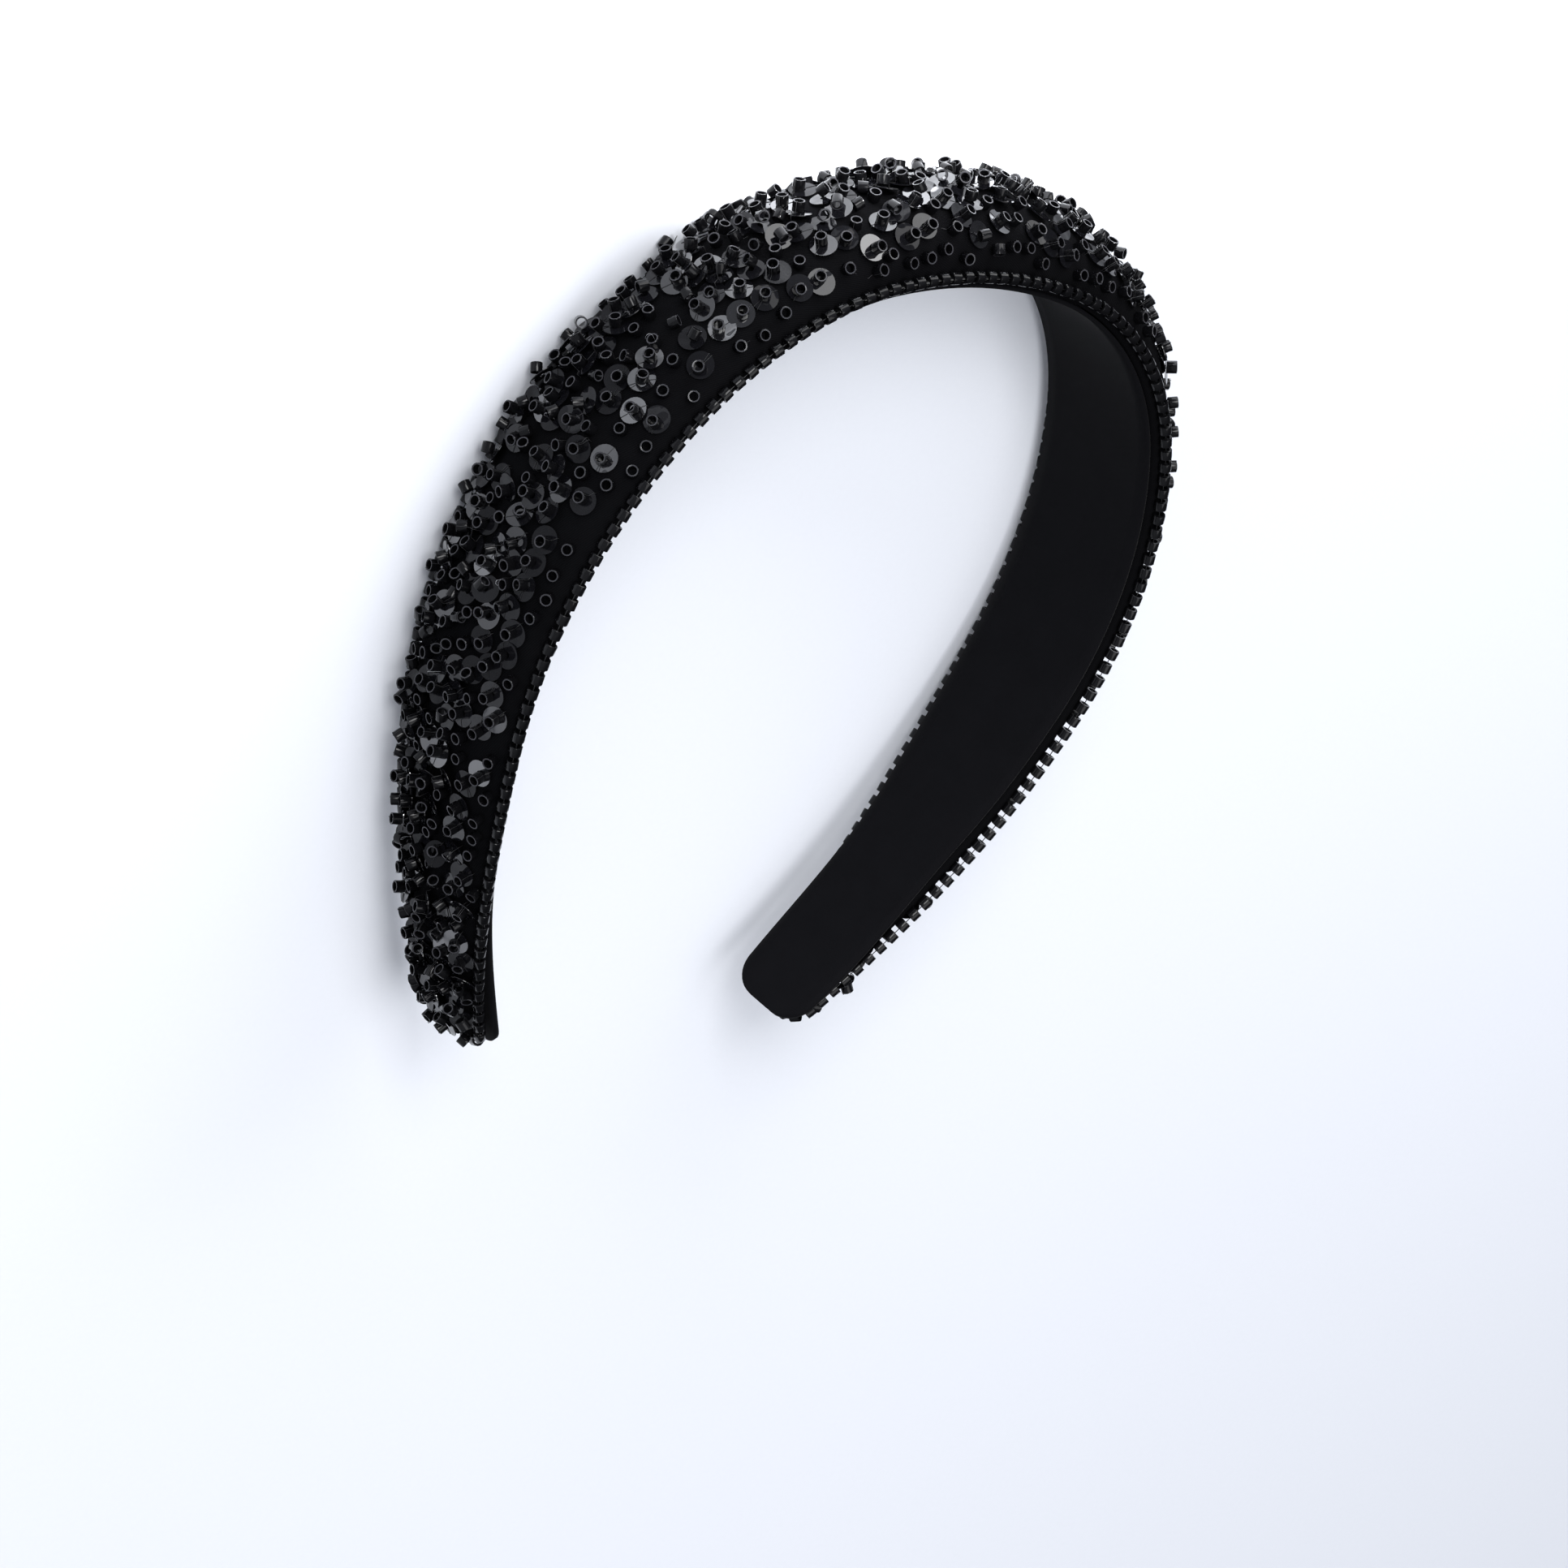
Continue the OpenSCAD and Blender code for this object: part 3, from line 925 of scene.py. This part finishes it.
set_pieces("tube_beads", bead_mesh, bead_feet, turns_to(bead_axes, spins), bead_sizes,
           chance.uniform(0, 1, count), glass)


# Threads. Fine black thread comes up through each bead, goes over its rim and down across the sequin
# into the cloth, along the band to one side or to both. A bead without a sequin seldom shows its thread.
FINE_THREAD = 0.1
FINE_SIDES = 4
# Down inside the hole, down to the bend outside the rim, and up from the foot
THREAD_INSIDE = 0.4
THREAD_BEND = 0.15
THREAD_FOOT = 0.25
# Out from the foot, out past the sequin's edge and down under it, back under the sequin, and into the cloth
THREAD_START = 0.1
PAST_EDGE = 0.08
UNDER_EDGE = 0.3
TUCKED_BACK = 0.97
INTO_CLOTH = 0.6
# How far a thread without a sequin runs on the bare cloth
BARE_REACH = 1.1
SHORTEST_RUN = 0.1
# Beads that tip further than this in degrees show no thread
THREAD_TIP = 35
# Chances that a bead without a sequin shows none, and that one on a sequin has a second and a third
NO_BARE_THREAD = 0.75
SECOND_THREAD = 0.6
THIRD_THREAD = 0.75
# Turns in radians: of a stitch from the band's own direction, and between its threads
THREAD_TURN = 0.45
THREAD_SPREADS = (0.16, 0.34)
# A direction that no thread runs in
ASLANT = Vector((0.3, 0.9, 0.31))


def tube_mesh(name, paths, radius):
    """Thin closed tubes along lists of points in mm, joined in one mesh."""
    sides = FINE_SIDES
    points, faces = [], []
    for path in paths:
        first = len(points)
        for i, place in enumerate(path):
            ahead = (path[min(i + 1, len(path) - 1)] - path[max(i - 1, 0)]).normalized()
            side = ahead.cross(ASLANT).normalized()
            up_side = ahead.cross(side)
            for k in range(sides):
                angle = 2 * math.pi * k / sides
                points.append((place + radius * (math.cos(angle) * side + math.sin(angle) * up_side)) * MM)
        for i in range(len(path) - 1):
            for k in range(sides):
                a = first + i * sides + k
                b = first + i * sides + (k + 1) % sides
                faces.append((a, b, b + sides, a + sides))
        faces.append(tuple(first + k for k in range(sides - 1, -1, -1)))
        faces.append(tuple(first + (len(path) - 1) * sides + k for k in range(sides)))
    made = bpy.data.meshes.new(name)
    made.from_pydata(points, [], faces)
    made.validate()
    made.shade_smooth()
    return made


def thread_path(i, way):
    """One thread of a stitch: over its bead's rim, down beside the bead, then out and into the cloth."""
    skin = FINE_THREAD / 2
    axis = Vector(bead_axes[i])
    side = Vector(unit(way - (way @ bead_axes[i]) * bead_axes[i]))
    foot = Vector(bead_feet[i])
    top = foot + axis * (TUBE_BEAD_LENGTH + skin)
    beside = side * (TUBE_BEAD / 2 + skin)
    course = [top - axis * THREAD_INSIDE + side * (TUBE_BEAD_HOLE / 2 - skin),
              top + side * (TUBE_BEAD_HOLE / 2),
              top + side * (TUBE_BEAD / 2),
              top - axis * THREAD_BEND + beside,
              foot + axis * THREAD_FOOT + beside]
    base = Vector(seats[i]) if has_sequin[i] else Vector(places[i])
    up_there = Vector(faces_up[i])
    height = (SEQUIN_FILM if has_sequin[i] else 0.0) + skin
    out = side - side.dot(up_there) * up_there
    out.normalize()
    # Where the line from the bead's side meets the sequin's edge, or a little way out on bare cloth
    start = course[-1] - base
    start -= start.dot(up_there) * up_there
    reach = SEQUIN / 2 if has_sequin[i] else start.dot(out) + BARE_REACH
    square = start - start.dot(out) * out
    run = math.sqrt(max(SHORTEST_RUN ** 2, reach ** 2 - square.length_squared))
    course.append(base + start + out * THREAD_START + up_there * height)
    course.append(base + square + out * run + up_there * height)
    course.append(base + square + out * (run + PAST_EDGE) - up_there * UNDER_EDGE)
    course.append(Vector(places[i]) + square + out * run * TUCKED_BACK - Vector(normals[i]) * INTO_CLOTH)
    return course


thread_paths = []
for i in range(count):
    if tips[i] > math.radians(THREAD_TIP) or (not has_sequin[i] and chance.random() < NO_BARE_THREAD):
        continue
    bearing = chance.normal() * THREAD_TURN + (math.pi if chance.random() < 0.5 else 0.0)
    spread = chance.uniform(*THREAD_SPREADS)
    bearings = [bearing]
    if has_sequin[i] and chance.random() < SECOND_THREAD:
        bearings.append(bearing + spread)
    if has_sequin[i] and chance.random() < THIRD_THREAD:
        bearings.append(bearing + math.pi - spread)
    for angle in bearings:
        thread_paths.append(thread_path(i, math.cos(angle) * lengths[i] + math.sin(angle) * across[i]))
threads = new_object("threads", tube_mesh("threads", thread_paths, FINE_THREAD / 2), thread)
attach(threads, "root")


# Loose loops. Here and there, mostly over the ridge and behind it, a fine clear thread end stands up
# between the beads in a small loop.
LOOP_THREAD = 0.05
LOOP_DEPTH = 0.35
LOOP_CHANCE = 0.05
LOOP_REACHES = (0.5, 1.0)
LOOP_HEIGHTS = (1.4, 2.6)
LOOP_FOOT = 1.2
LOOP_TWIST = 0.3
LOOP_ANGLES = range(-20, 201, 20)
CLEAR_CLOUDS = 900.0
CLEAR_TONES = ((0.30, 0.31, 0.33), (0.40, 0.41, 0.43))
clear, clear_tree, clear_shader = new_material("clear_thread", roughness=0.3)
blend_color(clear_tree, clear_shader, add_grain(clear_tree, CLEAR_CLOUDS), *CLEAR_TONES)
loop_paths = []
for i in np.flatnonzero((depths > LOOP_DEPTH) & (chance.random(count) < LOOP_CHANCE)):
    reach = chance.uniform(*LOOP_REACHES)
    height = chance.uniform(*LOOP_HEIGHTS)
    turn = chance.uniform(0, 2 * math.pi)
    way = Vector(math.cos(turn) * lengths[i] + math.sin(turn) * across[i])
    side = Vector(normals[i]).cross(way)
    path = []
    for angle in LOOP_ANGLES:
        path.append(Vector(places[i]) + way * (reach * math.cos(math.radians(angle)))
                    + side * (LOOP_TWIST * math.sin(math.radians(2 * angle)))
                    + Vector(normals[i]) * (LOOP_FOOT + height * math.sin(math.radians(angle))))
    loop_paths.append(path)
loops = new_object("loose_loops", tube_mesh("loose_loops", loop_paths, LOOP_THREAD / 2), clear)
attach(loops, "root")
